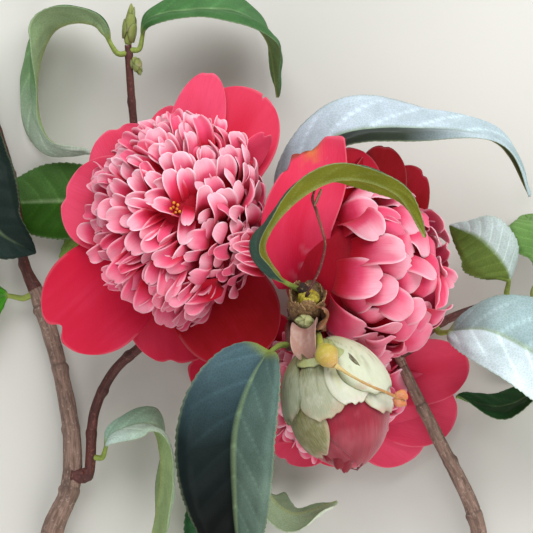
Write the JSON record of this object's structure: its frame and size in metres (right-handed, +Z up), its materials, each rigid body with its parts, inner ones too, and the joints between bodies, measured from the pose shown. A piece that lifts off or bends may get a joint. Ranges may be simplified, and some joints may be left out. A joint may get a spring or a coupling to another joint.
{
  "type": "cut camellia branch",
  "caption": "Cut flowering camellia branch lying down: forked woody stem, thin twigs, full rose-pink blooms, a fat opening bud and glossy curling leaves.",
  "frame": {"origin": "centre of the branch's footprint, on the surface it lies on", "axes": "+Z up from the surface; +Y from the cut end of the stem to the leafy tips; +X to the right seen from above"},
  "size_m": [0.2642, 0.335, 0.1159],
  "materials": {
    "grey_bark": "dull grey-brown bark with fine cracks and pale pores",
    "young_bark": "smooth red-brown young bark, slightly satin",
    "dry_scale": "dry papery brown scales",
    "petal": "soft satin petals, deep rose red to pale pink at the edges",
    "bud_scale": "silky green-white sepals over a dusty rose ball of petals",
    "leaf_bud": "smooth pale green bud scales",
    "dark_leaf": "very glossy dark green leaf",
    "green_leaf": "glossy mid green leaf, olive beneath",
    "pale_leaf": "soft pale green leaf with a light sheen"
  },
  "bodies": {
    "root": {"main_stem": "grey_bark", "left_stem_lower": "grey_bark", "left_stem_upper": "grey_bark", "right_stem_lower": "grey_bark", "right_stem_upper": "grey_bark", "centre_twig": "grey_bark", "left_shoot": "young_bark", "upper_twig_lower": "young_bark", "upper_twig_upper": "young_bark", "right_twig": "young_bark", "rear_twig": "young_bark", "bud_spur": "young_bark", "bud_stalk": "dry_scale", "calyx_knot": "dry_scale", "brown_bract": "dry_scale", "papery_bract": "dry_scale", "dry_style": "dry_scale", "left_bloom": "petal", "right_bloom": "petal", "rear_bloom": "petal", "flower_bud": "bud_scale", "top_bud": "leaf_bud", "side_bud": "leaf_bud", "small_bud": "leaf_bud", "spent_ovary": "leaf_bud", "left_dark_leaf": "dark_leaf", "lower_dark_leaf": "dark_leaf", "front_dark_leaf": "dark_leaf", "top_glossy_leaf": "dark_leaf", "right_low_leaf": "dark_leaf", "upper_left_leaf": "pale_leaf", "lower_left_leaf": "pale_leaf", "lower_pale_leaf": "pale_leaf", "upper_right_leaf": "green_leaf", "left_green_leaf": "green_leaf", "left_pale_leaf": "green_leaf", "left_small_leaf": "green_leaf", "front_curled_leaf": "green_leaf", "right_glossy_leaf": "green_leaf", "right_ridge_leaf": "green_leaf", "right_far_leaf": "green_leaf"}
  },
  "joints": []
}
